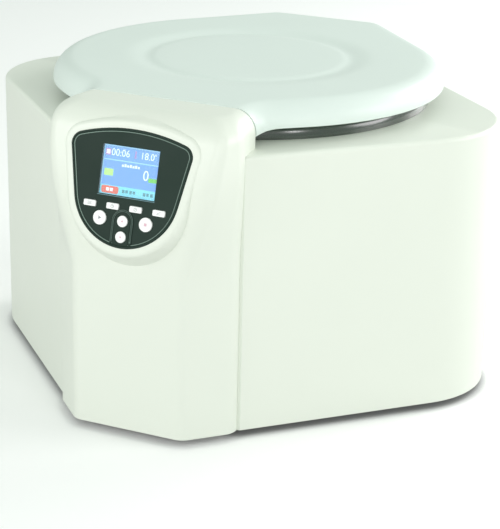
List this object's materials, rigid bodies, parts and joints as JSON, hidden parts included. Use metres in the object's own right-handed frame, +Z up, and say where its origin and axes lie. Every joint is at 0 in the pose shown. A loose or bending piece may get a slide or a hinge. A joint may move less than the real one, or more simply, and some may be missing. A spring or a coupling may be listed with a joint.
{
  "type": "benchtop centrifuge",
  "caption": "Benchtop swing-out centrifuge: square turned body, hinged round lid, sloped key panel with a colour screen, spinning rotor with swinging buckets.",
  "frame": {"origin": "centre of the outer box on the bench", "axes": "+Z up, -Y towards the front cover and its key panel, +X to the right seen from the front"},
  "size_m": [0.6028, 0.6014, 0.357],
  "materials": {
    "shell_white": "satin moulded and painted shell",
    "lid_white": "satin moulded lid",
    "grey_plastic": "moulded",
    "zinc_steel": "zinc plated",
    "black_rubber": "moulded rubber",
    "panel_black": "textured dark green-black panel",
    "clear_window": "clear",
    "screen": "lit colour screen",
    "black_plastic": "moulded",
    "board_green": "solder mask",
    "key_white": "moulded keys",
    "stainless": "brushed stainless",
    "ring_black": "gloss black ring",
    "cast_alloy": "cast and blasted",
    "polished_steel": "ground steel",
    "core_steel": "laminated core",
    "brass_blades": "plated",
    "sleeve_grey": "moulded cushion"
  },
  "bodies": {
    "base": {"housing": "shell_white", "front_cover": "shell_white", "rear_grilles": "grey_plastic", "base_plate": "zinc_steel", "rubber_feet": "black_rubber", "foot_screws": "zinc_steel", "panel_bezel": "panel_black", "panel_plate": "panel_black", "arrow_key_surround": "panel_black", "display_window": "clear_window", "display_module": "screen", "key_switches": "black_plastic", "control_board": "board_green", "chamber_bowl": "stainless", "chamber_ring": "ring_black", "guard_ring": "zinc_steel", "shaft_boot": "black_rubber", "motor_housing": "cast_alloy", "motor_end_cap": "cast_alloy", "shaft_bearings": "polished_steel", "motor_stator": "core_steel", "motor_posts": "zinc_steel", "motor_dampers": "black_rubber", "imbalance_switch": "black_plastic", "hinge_brackets": "zinc_steel", "hinge_screws": "zinc_steel", "hinge_pins": "polished_steel", "latch_solenoid": "black_plastic", "drive_board": "board_green", "power_inlet": "black_plastic", "inlet_pins": "brass_blades", "switch_frame": "black_plastic"},
    "lid": {"lid_shell": "lid_white", "lid_inner_panel": "stainless", "lid_seal": "black_rubber", "latch_striker": "polished_steel", "hinge_leaves": "zinc_steel"},
    "rotor": {"drive_shaft": "polished_steel", "motor_armature": "core_steel", "rotor_yoke": "cast_alloy", "trunnion_pins": "polished_steel", "rotor_nut": "polished_steel"},
    "bucket_1_swing_body": {"bucket_1": "cast_alloy", "bucket_sleeve_1": "sleeve_grey"},
    "bucket_2_swing_body": {"bucket_2": "cast_alloy", "bucket_sleeve_2": "sleeve_grey"},
    "bucket_3_swing_body": {"bucket_3": "cast_alloy", "bucket_sleeve_3": "sleeve_grey"},
    "bucket_4_swing_body": {"bucket_4": "cast_alloy", "bucket_sleeve_4": "sleeve_grey"},
    "menu_key": {"menu_key": "key_white"},
    "time_key": {"time_key": "key_white"},
    "speed_key": {"speed_key": "key_white"},
    "lid_key": {"lid_key": "key_white"},
    "start_key": {"start_key": "key_white"},
    "stop_key": {"stop_key": "key_white"},
    "up_key": {"up_key": "key_white"},
    "down_key": {"down_key": "key_white"},
    "power_rocker": {"power_rocker": "black_plastic"},
    "latch_bolt": {"latch_bolt": "polished_steel"}
  },
  "joints": [
    {"name": "lid_hinge", "type": "hinge", "parent": "base", "child": "lid", "pos_m": [0, 0.2833, 0.323], "axis": [-1, 0, 0], "range_deg": [0, 78]},
    {"name": "rotor_spin", "type": "hinge", "parent": "base", "child": "rotor", "pos_m": [0, 0.0193, 0.2], "axis": [0, 0, 1], "continuous": true},
    {"name": "bucket_1_swing", "type": "hinge", "parent": "rotor", "child": "bucket_1_swing_body", "pos_m": [0.095, 0.0193, 0.268], "axis": [0, -1, 0], "range_deg": [0, 90]},
    {"name": "bucket_2_swing", "type": "hinge", "parent": "rotor", "child": "bucket_2_swing_body", "pos_m": [0, 0.1143, 0.268], "axis": [1, 0, 0], "range_deg": [0, 90]},
    {"name": "bucket_3_swing", "type": "hinge", "parent": "rotor", "child": "bucket_3_swing_body", "pos_m": [-0.095, 0.0193, 0.268], "axis": [0, 1, 0], "range_deg": [0, 90]},
    {"name": "bucket_4_swing", "type": "hinge", "parent": "rotor", "child": "bucket_4_swing_body", "pos_m": [0, -0.0757, 0.268], "axis": [-1, 0, 0], "range_deg": [0, 90]},
    {"name": "menu_key_press", "type": "slide", "parent": "base", "child": "menu_key", "axis": [0, 0.964, -0.2661], "range_m": [0, 0.0008], "stiffness_N_per_m": 600, "springref_m": -0.0004},
    {"name": "time_key_press", "type": "slide", "parent": "base", "child": "time_key", "axis": [0, 0.964, -0.2661], "range_m": [0, 0.0008], "stiffness_N_per_m": 600, "springref_m": -0.0004},
    {"name": "speed_key_press", "type": "slide", "parent": "base", "child": "speed_key", "axis": [0, 0.964, -0.2661], "range_m": [0, 0.0008], "stiffness_N_per_m": 600, "springref_m": -0.0004},
    {"name": "lid_key_press", "type": "slide", "parent": "base", "child": "lid_key", "axis": [0, 0.964, -0.2661], "range_m": [0, 0.0008], "stiffness_N_per_m": 600, "springref_m": -0.0004},
    {"name": "start_key_press", "type": "slide", "parent": "base", "child": "start_key", "axis": [0, 0.964, -0.2661], "range_m": [0, 0.0008], "stiffness_N_per_m": 600, "springref_m": -0.0004},
    {"name": "stop_key_press", "type": "slide", "parent": "base", "child": "stop_key", "axis": [0, 0.964, -0.2661], "range_m": [0, 0.0008], "stiffness_N_per_m": 600, "springref_m": -0.0004},
    {"name": "up_key_press", "type": "slide", "parent": "base", "child": "up_key", "axis": [0, 0.964, -0.2661], "range_m": [0, 0.0008], "stiffness_N_per_m": 600, "springref_m": -0.0004},
    {"name": "down_key_press", "type": "slide", "parent": "base", "child": "down_key", "axis": [0, 0.964, -0.2661], "range_m": [0, 0.0008], "stiffness_N_per_m": 600, "springref_m": -0.0004},
    {"name": "power_rocker_tilt", "type": "hinge", "parent": "base", "child": "power_rocker", "pos_m": [0, 0.2893, 0.104], "axis": [1, 0, 0], "range_deg": [0, 12]},
    {"name": "latch_bolt_slide", "type": "slide", "parent": "base", "child": "latch_bolt", "axis": [0, 1, 0], "range_m": [0, 0.01], "stiffness_N_per_m": 60, "springref_m": -0.004}
  ]
}
